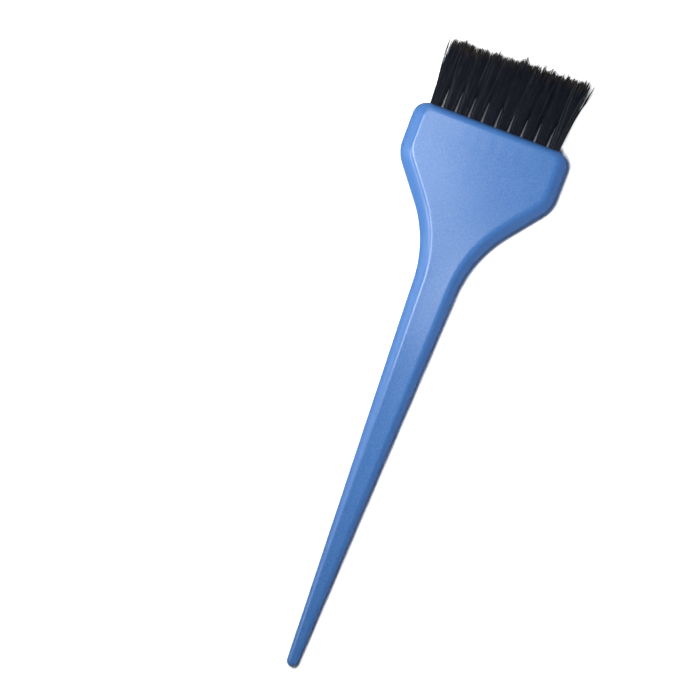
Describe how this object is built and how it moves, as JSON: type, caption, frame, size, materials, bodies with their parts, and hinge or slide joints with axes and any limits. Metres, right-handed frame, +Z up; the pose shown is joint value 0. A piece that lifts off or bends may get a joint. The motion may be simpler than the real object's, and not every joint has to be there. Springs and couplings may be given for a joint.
{
  "type": "tint brush",
  "caption": "Flat hair-tinting brush: a moulded handle with a wide bevelled head and a pointed parting tail, and a row of bristle tufts folded over metal anchors in blind holes.",
  "frame": {"origin": "bottom centre of the whole brush's bounding box, as it lies flat on the back face of its handle", "axes": "+Y along the brush towards the bristles, +Z up out of the front face, +X across the head to the right when seen from the front with the bristles at the top"},
  "size_m": [0.053, 0.2098, 0.0085],
  "materials": {
    "handle_plastic": "satin",
    "bristle_nylon": "satin",
    "anchor_brass": "satin"
  },
  "bodies": {
    "root": {"handle": "handle_plastic", "tuft_01": "bristle_nylon", "tuft_02": "bristle_nylon", "tuft_03": "bristle_nylon", "tuft_04": "bristle_nylon", "tuft_05": "bristle_nylon", "tuft_06": "bristle_nylon", "tuft_07": "bristle_nylon", "tuft_08": "bristle_nylon", "tuft_09": "bristle_nylon", "tuft_10": "bristle_nylon", "anchor_01": "anchor_brass", "anchor_02": "anchor_brass", "anchor_03": "anchor_brass", "anchor_04": "anchor_brass", "anchor_05": "anchor_brass", "anchor_06": "anchor_brass", "anchor_07": "anchor_brass", "anchor_08": "anchor_brass", "anchor_09": "anchor_brass", "anchor_10": "anchor_brass"}
  },
  "joints": []
}
